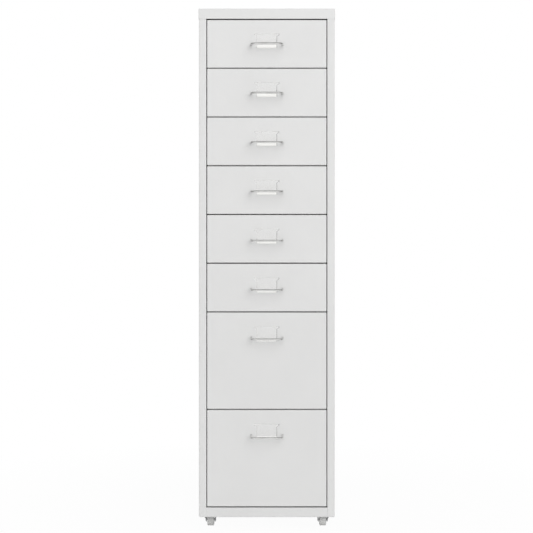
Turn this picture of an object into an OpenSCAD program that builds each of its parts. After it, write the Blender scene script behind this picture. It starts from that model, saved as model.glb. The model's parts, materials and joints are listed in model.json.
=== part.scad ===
// Tall narrow sheet-steel drawer cabinet on four swivel casters.
// Millimetres, +Z up, the front faces -Y. The origin is on the floor, under the middle of the
// whole cabinet, pulls and back screws included.

/* [Cabinet] */
// Width over the top cap
case_w = 280; // [250:1:360]
// Depth over the top cap
case_d = 410; // [390:1:520]
// Height of the top cap's skirt
skirt_h = 21; // [16:1:30]
// Height of the rail under the lowest drawer
rail_h = 20; // [16:1:30]
// Width of each side panel's front flange
flange_w = 15.2; // [14:0.1:24]
// Depth of the lip that returns behind the front flange
lip_d = 10; // [6:1:12]
// Width of each side panel's rear flange
rear_flange_w = 14; // [12:1:18]
// How far the side panels stop short of the base pan's underside
side_lift = 1.2; // [0:0.1:3]
// Sheet thickness of the carcass and the drawer fronts
sheet = 0.7; // [0.6:0.1:1]
// Gap left between sheets that lap or nest
fit = 0.1; // [0.05:0.05:0.2]
// Inside radius of every fold
bend_r = 0.8; // [0.6:0.1:1]

/* [Drawers] */
// Height of one small drawer with its gap; a large drawer is two of these
unit_h = 100; // [90:1:130]
// Gap between a drawer front and what is over or under it
reveal = 2; // [1.5:0.1:2.5]
// Gap on each side of a drawer front
side_reveal = 1.5; // [1.2:0.1:2.5]
// Depth of the returns behind a drawer front's four edges
front_return = 14; // [12:1:16]
// Sheet thickness of the trays
tray_sheet = 0.6; // [0.5:0.1:0.8]
// Height of a tray's floor above the middle of the gap under its front
tray_rise = 8; // [7:0.5:12]
// How far a tray's top edge lies below the middle of the gap over its front
tray_drop = 10; // [6:1:20]
// Width of the hem folded inwards along a tray's top edges
hem_w = 6; // [4:1:10]
// Height of the upstand that joins a tray's floor to its front
upstand_h = 24; // [15:1:28]
// Room behind a closed drawer's tray
tray_back_room = 14; // [10:1:25]
// How far a drawer pulls out before its ears meet the front lips
travel = 290; // [240:5:300]
// Width of a stop ear, out from the tray's side
ear_w = 13; // [8:1:14]
// Height of a stop ear
ear_h = 15; // [10:1:20]
// Height of a stop ear above the tray's floor
ear_rise = 32; // [28:1:36]
// Gap between an ear or a tray's back and its stop
stop_gap = 0.3; // [0.1:0.1:1]

/* [Runners] */
// Width of the ledge that a tray slides on, under the tray's edge
ledge_lap = 9; // [6:1:15]
// Height of the leg welded to the side panel
weld_leg_h = 18; // [12:1:24]
// Height of the stiffening lip under the ledge's inner edge
ledge_lip_h = 5; // [3:0.5:6]
// Height of the stop turned up behind the tray
rear_stop_h = 8; // [5:1:12]
// Running gap between a tray's floor and its ledge
run_gap = 0.1; // [0.1:0.05:0.3]

/* [Pulls] */
// Distance between the two legs
pull_centres = 64; // [56:1:96]
// Reach of the bar's centre line from the drawer's face
pull_reach = 26; // [20:1:32]
// Wire diameter
pull_wire = 4; // [3:0.5:5]
// Radius of the wire's centre line at the two corners
pull_bend = 9; // [6:1:14]
// Height of the pull's holes below the middle of the gap over the front
pull_down = 52.5; // [47:0.5:54]
// How far the bar droops below its holes
pull_droop = 2; // [0:0.5:4]
// Length of the foot bent outwards behind the front
pull_foot = 5; // [3:1:8]
// Radius of the wire's centre line where the foot turns
foot_bend = 3; // [3:0.5:4]
// Clearance round the wire in its hole
pull_clear = 0.2; // [0.15:0.05:0.4]

/* [Label holders] */
// Width of the pocket
holder_w = 42; // [34:1:46]
// Width of the flared top
holder_top_w = 51; // [48:1:54]
// Height of the top edge above the pull's holes
holder_rise = 23; // [20:0.5:24]
// Height above the holes at which the flare ends
flare_end = 17; // [14:0.5:17.5]
// Depth of the pocket's underside below the holes
holder_fall = 7.5; // [6:0.5:10]
// Distance of the pocket's front lip from the drawer's face
holder_stand = 8.5; // [7:0.5:10]
// Room inside the pocket's trough
trough_w = 1.6; // [1.3:0.1:2]
// Height of the pocket's front lip
holder_lip_h = 5.5; // [3:0.5:6]
// Thickness of the clear plastic
holder_t = 1; // [0.8:0.1:1.2]
// Width of each prong through the front
prong_w = 7; // [5:1:9]
// Distance between the middles of the two prongs
prong_centres = 30; // [24:1:34]
// Height of a prong behind the front
prong_h = 5; // [4:0.5:7]

/* [Casters] */
// Wheel diameter
wheel_d = 25; // [22:1:30]
// Wheel width
wheel_w = 14; // [10:0.5:16]
// Distance of a swivel axis from the outside of the cabinet's width
caster_inset = 22; // [21:0.5:30]
// Distance of a swivel axis from the front and from the back
caster_setback = 55; // [30:1:60]
// Distance of the wheel's axle behind the swivel axis
trail = 11; // [9:0.5:13]
// Width over the fork at its shoulders
fork_top_w = 24.5; // [24:0.5:28]
// Height above the axle at which the cheeks start to spread
spread_h = 3.6; // [3:0.2:4]
// Height above the axle of the fork's shoulders
shoulder_rise = 8; // [7.5:0.5:9]
// Thickness of the fork's metal
fork_t = 1.5; // [1.2:0.1:2]
// Side gap between the wheel and each cheek
cheek_gap = 1.3; // [0.6:0.1:1.5]
// Radius of the cheeks' ends round the axle
cheek_end_r = 4.8; // [4:0.2:6]
// Gap over the wheel
wheel_clear = 1; // [0.8:0.1:2]
// Diameter of the axle
axle_d = 4; // [3:0.5:5]
// Thickness of the top plate
plate_t = 2; // [1.8:0.1:3]
// Side of the square top plate
plate_w = 38; // [36:1:42]
// Distance between the plate's screw holes
plate_holes = 28; // [28:0.5:30]
// Height of the swivel's ball race, between plate and fork
race_h = 2.5; // [2.4:0.1:3]
// Radius of the ring of balls
race_r = 8; // [7:0.5:9]
// Diameter of the kingpin
kingpin_d = 5; // [4:0.5:6]

/* [Fasteners] */
// Diameter of the screws that hold a caster's plate
caster_screw_d = 4; // [3:0.5:4.5]
// Diameter of the sheet-metal screws in the back
back_screw_d = 3; // [2.5:0.1:3.5]
// Length of the back screws under the head
back_screw_l = 8; // [6:1:10]
// Clearance round a screw in its hole
screw_clear = 0.25; // [0.15:0.05:0.4]
// Running clearance round an axle, a kingpin or a screw in its nut
turn_clear = 0.05; // [0.02:0.01:0.1]

/* [Hidden] */
$fn = 48;
bend_steps = 6;
white = [0.9, 0.9, 0.9];
zinc = [0.68, 0.69, 0.7];
chrome = [0.82, 0.83, 0.84];
clear = [0.9, 0.93, 0.95, 0.45];
wheel_grey = [0.72, 0.72, 0.71];

// Heights of the drawers in units, from the top down
drawer_units = [1, 1, 1, 1, 1, 1, 2, 2];
drawer_count = len(drawer_units);

// Outer radius of a fold, also the size of the relief at a drawer front's corners
fold_r = bend_r + sheet;
cut = 1; // how far a cutting shape passes beyond what it cuts

// Heads of the back screws, shaped by their own radius
back_head_r = back_screw_d * 1.05;
back_head_h = 2;

// Heights, from the floor up
axle_z = wheel_d / 2;
fork_under = wheel_d + wheel_clear;
fork_top = fork_under + fork_t;
plate_under = fork_top + race_h;
base_z = plate_under + plate_t;
rail_top = base_z + rail_h;
stack_z0 = rail_top + reveal / 2;
stack_h = unit_h * units_above(drawer_count + 1);
stack_z1 = stack_z0 + stack_h;
total_h = stack_z1 + reveal / 2 + skirt_h;
side_z0 = base_z + side_lift;
side_z1 = total_h - fold_r - fit; // clear of the fold inside the cap

// Widths, from the middle out
side_outer = case_w / 2 - sheet - fit;
web_inner = side_outer - sheet;
pan_half = web_inner - fit;
open_half = side_outer - flange_w;
front_half = open_half - side_reveal;
tray_half = front_half - sheet - fit;
rear_hole_x = side_outer - rear_flange_w / 2;
back_half = side_outer - bend_r; // clear of the folds at the cap's rear corners

// Depths, from the front back. The origin is halfway between the pull and the back screws
pull_out = pull_reach + pull_wire / 2;
cap_y0 = -(case_d + back_head_h + sheet + fit - pull_out) / 2;
face_y = cap_y0 + sheet + fit;
cap_y1 = cap_y0 + case_d;
back_y = cap_y1 - sheet - fit;
side_y1 = back_y - sheet - fit;
tray_y0 = face_y + fold_r; // behind the folds inside the front
tray_y1 = side_y1 - tray_back_room;
runner_y0 = face_y + front_return + 2 * reveal;
runner_y1 = tray_y1 + stop_gap + sheet;
ear_y = face_y + lip_d + travel + stop_gap;

// Label holders: inside radius of their bends, and half the height of a prong's slot, which clears
// the bends where they pass the front's two faces
holder_r = bend_r / 2;
bend_dip = holder_r - sqrt(pow(holder_r, 2) - pow(holder_r - fit, 2));
slot_half = holder_t / 2 + bend_dip + fit;

// Casters
caster_x = case_w / 2 - caster_inset;
caster_ys = [face_y + caster_setback, side_y1 - caster_setback];
cheek_out = wheel_w / 2 + cheek_gap + fork_t;
cheek_x = cheek_out - fork_t / 2;
shoulder_x = (fork_top_w - fork_t) / 2;
screw_head_r = caster_screw_d * 0.85;
screw_head_h = race_h - stop_gap;
nut_flats = caster_screw_d * 1.75;
nut_h = caster_screw_d * 0.8;
plate_corner = plate_w / 10;
ball_d = race_h - 2 * stop_gap;
ball_count = 8;

// The kingpin is a rivet, and the axle is riveted over at both ends
rivet_head_h = 1;
kingpin_head_r = kingpin_d / 2 + 1.3;
kingpin_flat_r = kingpin_head_r * 0.7;
axle_head_h = 1.2;
axle_head_r = axle_d * 0.8;
axle_flat_r = axle_d * 0.55;

// Wheel: rounding of the tread's edges, and a hollow each side between hub and rim
tread_round = 1.6;
hub_r = axle_d / 2 + 2.6;
rim_r = wheel_d / 2 - 3;
dish = 2;
draft = 0.4;

// Where the cheeks' front and rear edges meet the round ends, and the top's round nose
cheek_front_a = 40;
cheek_rear_a = 20;
nose_r = fork_top_w / 2 + 0.5;

function units_above(i) = i <= 1 ? 0 : drawer_units[i - 2] + units_above(i - 1);
function gap_over(i) = stack_z1 - unit_h * units_above(i);
function gap_under(i) = gap_over(i + 1);
function hole_z(i) = gap_over(i) - pull_down;
function ledge_z(i) = gap_under(i) + tray_rise - run_gap;

// Names of the four corners, and the side (x) and end (index of caster_ys) of each
corner_names = ["front_left", "front_right", "rear_left", "rear_right"];
corner_places = [[-1, 0], [1, 0], [-1, 1], [1, 1]];

caster_pieces = ["fork", "axle", "wheel"];
drawer_pieces = ["front", "tray", "pull", "label_holder"];

// ---- Folded sheet ----

function unit(v) = v / norm(v);
function left_of(v) = [-v.y, v.x];
function turned(v, a) = [v.x * cos(a) - v.y * sin(a), v.x * sin(a) + v.y * cos(a)];

// Points round fold i of path p, on the strip's left (s = 1) or right (s = -1)
function fold_points(p, i, t, r, s) =
    let (
        d0 = unit(p[i] - p[i - 1]),
        d1 = unit(p[i + 1] - p[i]),
        way = sign(cross(d0, d1)),
        n0 = left_of(d0) * way,
        centre = p[i] + (n0 + left_of(d1) * way) * (r + t / 2) / (1 + d0 * d1),
        radius = r + t / 2 - s * way * t / 2
    )
    [for (k = [0 : bend_steps])
        centre - turned(n0, way * acos(d0 * d1) * k / bend_steps) * radius];

// One long side of a strip of thickness t folded along path p, with inside radius r
function strip_side(p, t, r, s) =
    let (n = len(p) - 1)
    concat(
        [p[0] + left_of(unit(p[1] - p[0])) * s * t / 2],
        [for (i = [1 : n - 1]) each fold_points(p, i, t, r, s)],
        [p[n] + left_of(unit(p[n] - p[n - 1])) * s * t / 2]
    );

function reversed(list) = [for (i = [len(list) - 1 : -1 : 0]) list[i]];

module strip(p, t, r) polygon(concat(strip_side(p, t, r, 1), reversed(strip_side(p, t, r, -1))));

// Corner of a rounded rectangle: a quarter circle about c that starts at angle a
function corner_arc(c, r, a) =
    r > 0 ? [for (k = [0 : bend_steps]) c + turned([r, 0], a + 90 * k / bend_steps)] : [c];

// Rectangle from lo to hi, rounded by r_low at its two lower corners and r_high at the upper ones
module round_rect(lo, hi, r_low, r_high) polygon(concat(
    corner_arc([lo.x + r_low, lo.y + r_low], r_low, 180),
    corner_arc([hi.x - r_low, lo.y + r_low], r_low, 270),
    corner_arc([hi.x - r_high, hi.y - r_high], r_high, 0),
    corner_arc([lo.x + r_high, hi.y - r_high], r_high, 90)
));

// A flat shape drawn in Y and Z, in X and Z, or in X and Y, pulled out along the third axis
module along_x(x0, x1) translate([x0, 0, 0]) rotate([90, 0, 90]) linear_extrude(x1 - x0) children();
module along_y(y0, y1) translate([0, y1, 0]) rotate([90, 0, 0]) linear_extrude(y1 - y0) children();
module along_z(z0, z1) translate([0, 0, z0]) linear_extrude(z1 - z0) children();
module box(lo, hi) translate(lo) cube(hi - lo);
module both_sides() {
    children();
    mirror([1, 0, 0]) children();
}

// Block with its upright edges rounded by r, and its lower and upper edges by r_low and r_high
module soft_block(lo, hi, r, r_low, r_high) intersection() {
    along_y(lo.y, hi.y) round_rect([lo.x, lo.z], [hi.x, hi.z], r_low, r_high);
    along_x(lo.x, hi.x) round_rect([lo.y, lo.z], [hi.y, hi.z], r_low, r_high);
    along_z(lo.z, hi.z) round_rect([lo.x, lo.y], [hi.x, hi.y], r, r);
}

// ---- Fasteners ----

// Round solid: profile in radius and height, about Z
module turned_solid(points) rotate_extrude() polygon(points);

// Pan-head screw with its head on the plane z = 0 above and its shank below. The cross in the head
// is two slots, arm long and slot wide each way from the middle
module pan_screw(d, length, head_r, head_h) difference() {
    tip = d / 8;
    shoulder_h = head_h * 0.5;
    flat_r = head_r * 0.7;
    arm = head_r * 0.55;
    slot = head_h * 0.15;
    slot_floor = head_h * 0.45;
    turned_solid([
        [0, -length], [d / 2 - tip, -length], [d / 2, -length + 2 * tip], [d / 2, 0],
        [head_r, 0], [head_r, shoulder_h], [flat_r, head_h], [0, head_h]
    ]);
    for (a = [0, 90]) rotate(a) box([-arm, -slot, slot_floor], [arm, slot, head_h + cut]);
}

// ---- Carcass ----

module top_cap() color(white) difference() {
    soft_block(
        [-case_w / 2, cap_y0, total_h - skirt_h], [case_w / 2, cap_y1, total_h],
        fold_r, 0, fold_r
    );
    soft_block(
        [-case_w / 2 + sheet, cap_y0 + sheet, total_h - skirt_h - cut],
        [case_w / 2 - sheet, cap_y1 - sheet, total_h - sheet],
        bend_r, 0, bend_r
    );
    cap_screw_places() screw_hole(back_screw_d / 2 + screw_clear);
}

// Right-hand side panel; the left one is its mirror image
module side_panel() color(white) difference() {
    along_z(side_z0, side_z1) strip([
        [open_half + sheet / 2, face_y + lip_d],
        [open_half + sheet / 2, face_y + sheet / 2],
        [side_outer - sheet / 2, face_y + sheet / 2],
        [side_outer - sheet / 2, side_y1 - sheet / 2],
        [side_outer - rear_flange_w, side_y1 - sheet / 2]
    ], sheet, bend_r);
    // The lip starts above the rail
    box(
        [open_half - cut, face_y + sheet, side_z0 - cut],
        [open_half + fold_r, face_y + lip_d + cut, stack_z0]
    );
    cap_screw_places() screw_hole(back_screw_d / 2 + turn_clear);
    panel_screw_places() screw_hole(back_screw_d / 2 + turn_clear);
}

module back_panel() color(white) difference() {
    box([-back_half, side_y1 + fit, side_z0], [back_half, side_y1 + fit + sheet, side_z1]);
    cap_screw_places() screw_hole(back_screw_d / 2 + screw_clear);
    panel_screw_places() screw_hole(back_screw_d / 2 + screw_clear);
}

module base_pan() color(white) difference() {
    soft_block(
        [-pan_half, face_y + sheet + fit, base_z],
        [pan_half, side_y1 - sheet - fit, rail_top],
        fold_r, fold_r, 0
    );
    soft_block(
        [-pan_half + sheet, face_y + 2 * sheet + fit, base_z + sheet],
        [pan_half - sheet, side_y1 - 2 * sheet - fit, rail_top + cut],
        bend_r, bend_r, 0
    );
    caster_places() plate_hole_places()
        translate([0, 0, base_z - cut])
            cylinder(r = caster_screw_d / 2 + screw_clear, h = sheet + 2 * cut);
}

// Right-hand ledges, one for each drawer, with their stops behind the trays
module runners() color(white) for (i = [1 : drawer_count]) {
    inner = tray_half - ledge_lap;
    top = ledge_z(i);
    along_y(runner_y0, runner_y1) strip([
        [pan_half - sheet / 2, top + weld_leg_h],
        [pan_half - sheet / 2, top - sheet / 2],
        [inner + sheet / 2, top - sheet / 2],
        [inner + sheet / 2, top - ledge_lip_h]
    ], sheet, bend_r);
    box([inner + fold_r, runner_y1 - sheet, top - sheet], [tray_half, runner_y1, top + rear_stop_h]);
}

// Screws through the cap's rear skirt, and through the back panel alone, into the rear flanges
cap_screw_z = total_h - skirt_h / 2;
panel_screw_rows = 4;
panel_screw_zs = [for (k = [0.5 : panel_screw_rows]) stack_z0 + k * stack_h / panel_screw_rows];

module cap_screw_places() for (s = [-1, 1]) translate([s * rear_hole_x, cap_y1, cap_screw_z]) children();
module panel_screw_places() for (s = [-1, 1], z = panel_screw_zs)
    translate([s * rear_hole_x, side_y1 + fit + sheet, z]) children();

module screw_hole(r) rotate([90, 0, 0])
    translate([0, 0, -cut]) cylinder(r = r, h = 3 * sheet + 2 * fit + 2 * cut);

module back_screw() rotate([-90, 0, 0]) pan_screw(back_screw_d, back_screw_l, back_head_r, back_head_h);

module carcass_screws() color(zinc) {
    cap_screw_places() back_screw();
    panel_screw_places() back_screw();
}

// ---- Drawers ----

module drawer_front(i) color(white) {
    z0 = gap_under(i) + reveal / 2;
    z1 = gap_over(i) - reveal / 2;
    y_in = face_y + sheet / 2;
    y_end = face_y + front_return;
    difference() {
        union() {
            along_x(-front_half + fold_r, front_half - fold_r) strip([
                [y_end, z0 + sheet / 2], [y_in, z0 + sheet / 2],
                [y_in, z1 - sheet / 2], [y_end, z1 - sheet / 2]
            ], sheet, bend_r);
            along_z(z0 + fold_r, z1 - fold_r) strip([
                [-front_half + sheet / 2, y_end], [-front_half + sheet / 2, y_in],
                [front_half - sheet / 2, y_in], [front_half - sheet / 2, y_end]
            ], sheet, bend_r);
        }
        for (s = [-1, 1]) {
            translate([s * pull_centres / 2, face_y - cut, hole_z(i)])
                rotate([-90, 0, 0]) cylinder(r = pull_wire / 2 + pull_clear, h = sheet + 2 * cut);
            translate([s * prong_centres / 2, 0, hole_z(i) + holder_rise - holder_t / 2])
                box(
                    [-prong_w / 2 - fit, face_y - cut, -slot_half],
                    [prong_w / 2 + fit, face_y + sheet + cut, slot_half]
                );
        }
    }
}

// Centre line of a tray's section, from one hem's edge round to the other
function tray_path(i) =
    let (
        x = tray_half - tray_sheet / 2,
        z0 = gap_under(i) + tray_rise + tray_sheet / 2,
        z1 = gap_over(i) - tray_drop - tray_sheet / 2
    )
    [[hem_w - x, z1], [-x, z1], [-x, z0], [x, z0], [x, z1], [x - hem_w, z1]];

module drawer_tray(i) color(white) {
    floor_z = gap_under(i) + tray_rise;
    ear_z = floor_z + ear_rise;
    outline = strip_side(tray_path(i), tray_sheet, bend_r, -1);
    difference() {
        union() {
            along_y(tray_y0, tray_y1) strip(tray_path(i), tray_sheet, bend_r);
            along_y(tray_y1 - tray_sheet, tray_y1) polygon(outline);
            intersection() {
                along_y(tray_y0, tray_y0 + tray_sheet) polygon(outline);
                box(
                    [-tray_half, tray_y0, floor_z],
                    [tray_half, tray_y0 + tray_sheet, floor_z + upstand_h]
                );
            }
            both_sides()
                box(
                    [tray_half - tray_sheet, ear_y, ear_z],
                    [tray_half + ear_w, ear_y + tray_sheet, ear_z + ear_h]
                );
        }
        // Windows that the ears are bent out of
        both_sides()
            box(
                [tray_half - tray_sheet - cut, ear_y + tray_sheet, ear_z],
                [tray_half + cut, ear_y + tray_sheet + ear_w, ear_z + ear_h]
            );
    }
}

// Length of a pull's drooping legs, from the drawer's face to the bar's centre line
leg_l = norm([pull_reach, pull_droop]);

// Half of a pull's wire, towards +X, with the drawer's face at y = 0
module half_pull() {
    leg_x = pull_centres / 2;
    bend_y = pull_bend - leg_l;
    turn_y = sheet + pull_clear;
    foot_y = turn_y + foot_bend;
    translate([leg_x, bend_y, 0]) rotate([-90, 0, 0]) cylinder(d = pull_wire, h = turn_y - bend_y);
    translate([0, -leg_l, 0]) rotate([0, 90, 0]) cylinder(d = pull_wire, h = leg_x - pull_bend);
    translate([leg_x - pull_bend, bend_y, 0]) rotate(-90)
        rotate_extrude(angle = 90) translate([pull_bend, 0]) circle(d = pull_wire);
    translate([leg_x + foot_bend, turn_y, 0]) rotate(90)
        rotate_extrude(angle = 90) translate([foot_bend, 0]) circle(d = pull_wire);
    translate([leg_x + foot_bend, foot_y, 0]) rotate([0, 90, 0]) cylinder(d = pull_wire, h = pull_foot);
}

module drawer_pull(i) color(chrome)
    translate([0, face_y, hole_z(i)]) rotate([atan2(pull_droop, pull_reach), 0, 0])
        both_sides() half_pull();

module drawer_label_holder(i) color(clear) translate([0, face_y, hole_z(i)]) {
    behind = sheet + fit + holder_t / 2;
    before = -fit - holder_t / 2;
    top = holder_rise - holder_t / 2;
    low = holder_t / 2 - holder_fall;
    lip = holder_t / 2 - holder_stand;
    intersection() {
        along_x(-holder_top_w / 2, holder_top_w / 2) strip([
            [behind, top + prong_h], [behind, top], [before, top], [before, flare_end],
            [lip + trough_w + holder_t, low], [lip, low], [lip, low + holder_lip_h]
        ], holder_t, holder_r);
        union() {
            // Prongs behind the front
            for (s = [-1, 1]) translate([s * prong_centres / 2, 0, 0])
                box(
                    [-prong_w / 2, -holder_t, top - holder_t],
                    [prong_w / 2, behind + holder_t, top + prong_h]
                );
            // Flared top and pocket before it
            along_y(-holder_stand, -fit) polygon([
                [-holder_top_w / 2, holder_rise], [-holder_top_w / 2, (holder_rise + flare_end) / 2],
                [-holder_w / 2, flare_end], [-holder_w / 2, -holder_fall],
                [holder_w / 2, -holder_fall], [holder_w / 2, flare_end],
                [holder_top_w / 2, (holder_rise + flare_end) / 2], [holder_top_w / 2, holder_rise]
            ]);
        }
    }
}

// ---- Casters ----

// Swivel axis of caster k, and those of all casters
module caster_place(k)
    translate([corner_places[k].x * caster_x, caster_ys[corner_places[k].y], 0]) children();
module caster_places() for (k = [0 : len(corner_places) - 1]) caster_place(k) children();
module plate_hole_places() for (x = [-1, 1], y = [-1, 1])
    translate([x * plate_holes / 2, y * plate_holes / 2, 0]) children();

module caster_plates() color(zinc) caster_places() difference() {
    along_z(plate_under, base_z)
        round_rect(
            [-plate_w / 2, -plate_w / 2], [plate_w / 2, plate_w / 2],
            plate_corner, plate_corner
        );
    translate([0, 0, plate_under - cut]) cylinder(r = kingpin_d / 2 + turn_clear, h = plate_t + 2 * cut);
    translate([0, 0, base_z - rivet_head_h - fit]) cylinder(r = kingpin_head_r + fit, h = plate_t);
    plate_hole_places() translate([0, 0, plate_under - cut])
        cylinder(r = caster_screw_d / 2 + screw_clear, h = plate_t + 2 * cut);
}

// Rivet with one head sunk in the plate and the other under the fork
module caster_kingpins() color(zinc) caster_places() turned_solid([
    [0, fork_under - fit - rivet_head_h],
    [kingpin_flat_r, fork_under - fit - rivet_head_h],
    [kingpin_head_r, fork_under - fit - rivet_head_h / 2],
    [kingpin_head_r, fork_under - fit],
    [kingpin_d / 2, fork_under - fit],
    [kingpin_d / 2, base_z - rivet_head_h],
    [kingpin_head_r, base_z - rivet_head_h],
    [kingpin_head_r, base_z - fit],
    [0, base_z - fit]
]);

module swivel_balls() color(chrome) caster_places()
    for (k = [0 : ball_count - 1]) rotate(k * 360 / ball_count)
        translate([race_r, 0, fork_top + race_h / 2]) sphere(d = ball_d);

module caster_screws() color(zinc) caster_places() plate_hole_places()
    translate([0, 0, plate_under]) rotate([180, 0, 0])
        pan_screw(caster_screw_d, plate_t + sheet + nut_h + cut, screw_head_r, screw_head_h);

module caster_nuts() color(zinc) caster_places() plate_hole_places()
    translate([0, 0, base_z + sheet]) difference() {
        cylinder(d = nut_flats / cos(30), h = nut_h, $fn = 6);
        translate([0, 0, -cut]) cylinder(r = caster_screw_d / 2 + turn_clear, h = nut_h + 2 * cut);
    }

module caster_fork(k) color(zinc) caster_place(k) difference() {
    intersection() {
        along_y(-fork_top_w, trail + fork_top_w) strip([
            [-cheek_x, 0], [-cheek_x, axle_z + spread_h], [-shoulder_x, axle_z + shoulder_rise],
            [-shoulder_x, fork_top - fork_t / 2], [shoulder_x, fork_top - fork_t / 2],
            [shoulder_x, axle_z + shoulder_rise], [cheek_x, axle_z + spread_h], [cheek_x, 0]
        ], fork_t, bend_r);
        // The cheeks reach back from the swivel to the axle
        along_x(-fork_top_w, fork_top_w) union() {
            polygon([
                [-fork_top_w / 2 + fork_t, fork_top], [-fork_top_w / 2 + fork_t, fork_top - 2 * fork_t],
                [trail - cheek_end_r * cos(cheek_front_a), axle_z - cheek_end_r * sin(cheek_front_a)],
                [trail + cheek_end_r * cos(cheek_rear_a), axle_z + cheek_end_r * sin(cheek_rear_a)],
                [fork_top_w / 2, fork_top]
            ]);
            translate([trail, axle_z]) circle(r = cheek_end_r);
        }
        // The top is rounded in front
        along_z(0, fork_top) union() {
            circle(r = nose_r);
            translate([-fork_top_w / 2, 0]) square([fork_top_w, trail + fork_top_w]);
        }
    }
    translate([0, 0, fork_under - cut]) cylinder(r = kingpin_d / 2 + turn_clear, h = fork_t + 2 * cut);
    translate([-fork_top_w, trail, axle_z]) rotate([0, 90, 0])
        cylinder(r = axle_d / 2 + turn_clear, h = 2 * fork_top_w);
}

module caster_axle(k) color(zinc) caster_place(k) translate([0, trail, axle_z]) rotate([0, 90, 0])
    turned_solid([for (s = [-1, 1]) each (s < 0 ? axle_end(s) : reversed(axle_end(s)))]);

// Radius and place of the points of a riveted axle end, from its middle to the shank
function axle_end(s) = [
    [0, s * (cheek_out + fit + axle_head_h)],
    [axle_flat_r, s * (cheek_out + fit + axle_head_h)],
    [axle_head_r, s * (cheek_out + fit + axle_head_h / 2)],
    [axle_head_r, s * (cheek_out + fit)],
    [axle_d / 2, s * (cheek_out + fit)]
];

// Half of the wheel's profile, from the bore out to the middle of the tread, on side s
function wheel_side(s) = concat(
    [
        [axle_d / 2 + turn_clear, s * wheel_w / 2], [hub_r, s * wheel_w / 2],
        [hub_r + draft, s * (wheel_w / 2 - dish)], [rim_r - draft, s * (wheel_w / 2 - dish)],
        [rim_r, s * wheel_w / 2]
    ],
    [for (k = [0 : bend_steps]) [
        wheel_d / 2 - tread_round + tread_round * sin(90 * k / bend_steps),
        s * (wheel_w / 2 - tread_round + tread_round * cos(90 * k / bend_steps))
    ]]
);

module caster_wheel(k) color(wheel_grey) caster_place(k) translate([0, trail, axle_z]) rotate([0, 90, 0])
    turned_solid(concat(wheel_side(-1), reversed(wheel_side(1))));

// ---- Assembly ----

top_cap();
mirror([1, 0, 0]) side_panel();  // side_panel_left
side_panel();  // side_panel_right
back_panel();
base_pan();
mirror([1, 0, 0]) runners();  // runners_left
runners();  // runners_right
carcass_screws();
caster_plates();
caster_screws();
caster_nuts();
caster_kingpins();
swivel_balls();
for (k = [0 : len(corner_names) - 1]) {
    caster_fork(k);
    caster_axle(k);
    caster_wheel(k);
}
for (i = [1 : drawer_count]) {
    drawer_front(i);
    drawer_tray(i);
    drawer_pull(i);
    drawer_label_holder(i);
}
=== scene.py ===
"""Tall white sheet-steel drawer cabinet on casters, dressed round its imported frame.

Lengths are metres in the frame's own axes: X to the right, -Y out of the front, Z up.
The cap, base pan, drawer fronts, pulls, label holders and wheels are functions of two parameters
worked out with numpy: a rounded rectangle carried along a folded section, a circle swept along a
wire, a flat strip carried along a bent line, or a profile turned round an axle. The other pieces
are merged copies of the frame's own parts with their edges eased.
"""

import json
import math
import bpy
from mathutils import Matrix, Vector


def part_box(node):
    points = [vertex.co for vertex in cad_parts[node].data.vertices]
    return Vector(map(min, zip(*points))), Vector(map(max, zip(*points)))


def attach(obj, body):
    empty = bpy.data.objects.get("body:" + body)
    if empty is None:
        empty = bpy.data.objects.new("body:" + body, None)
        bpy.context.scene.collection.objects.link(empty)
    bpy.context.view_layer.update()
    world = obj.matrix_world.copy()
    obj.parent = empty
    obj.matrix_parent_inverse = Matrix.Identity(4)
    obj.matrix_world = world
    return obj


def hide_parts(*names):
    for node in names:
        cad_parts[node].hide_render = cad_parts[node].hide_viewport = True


bl_info = {
    "name": "Steel Drawer Cabinet",
    "version": (1, 0, 0),
    "blender": (4, 5, 0),
    "location": "3D View > Sidebar > Cabinet",
    "description": "Builds a tall steel drawer cabinet with its pulls, label holders and casters",
    "category": "Add Mesh",
}

import bmesh
import bpy
import numpy as np
from bpy.props import FloatProperty, FloatVectorProperty, IntProperty, PointerProperty
from mathutils import Vector

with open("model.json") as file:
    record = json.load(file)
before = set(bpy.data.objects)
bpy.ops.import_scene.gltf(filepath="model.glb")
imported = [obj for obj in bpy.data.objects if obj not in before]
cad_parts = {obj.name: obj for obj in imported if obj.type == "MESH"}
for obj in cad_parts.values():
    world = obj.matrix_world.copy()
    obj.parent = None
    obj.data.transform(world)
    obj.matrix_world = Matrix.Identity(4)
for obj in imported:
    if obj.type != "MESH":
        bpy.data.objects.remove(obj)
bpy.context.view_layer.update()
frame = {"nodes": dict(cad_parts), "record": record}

MM = 0.001
DRAWERS = range(1, 9)
CORNERS = ("front_left", "front_right", "rear_left", "rear_right")

FINISH_OF_SLOT = {
    "white_coat": "white coat",
    "bright_wire": "bright wire",
    "clear_plastic": "clear plastic",
    "zinc_plate": "zinc plate",
    "bearing_steel": "bearing steel",
    "wheel_plastic": "grey wheel plastic",
}
SLOT_OF_NODE = {part["node"]: part["material_slot"] for part in frame["record"]["subparts"]}
BODY_OF_NODE = {
    name: body for body, names in frame["record"]["behaviour"]["bodies"].items() for name in names
}

# Faces that meet at more than this show an edge, which the bevel eases
SHARP_ANGLE = math.radians(35)

# Room round a pull's wire in its holes, beside and over a prong in its slot, and between a label
# holder and the front on either side
WIRE_ROOM = 0.2 * MM
SLOT_SIDE_ROOM = 0.1 * MM
SLOT_TOP_ROOM = 0.24 * MM
HOLDER_GAP = 0.1 * MM


def span(node):
    """Lowest and highest corner of a frame node as two arrays."""
    low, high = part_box(node)
    return np.array(low), np.array(high)


# ---- Sizes and finishes that a user would change ----


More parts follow.
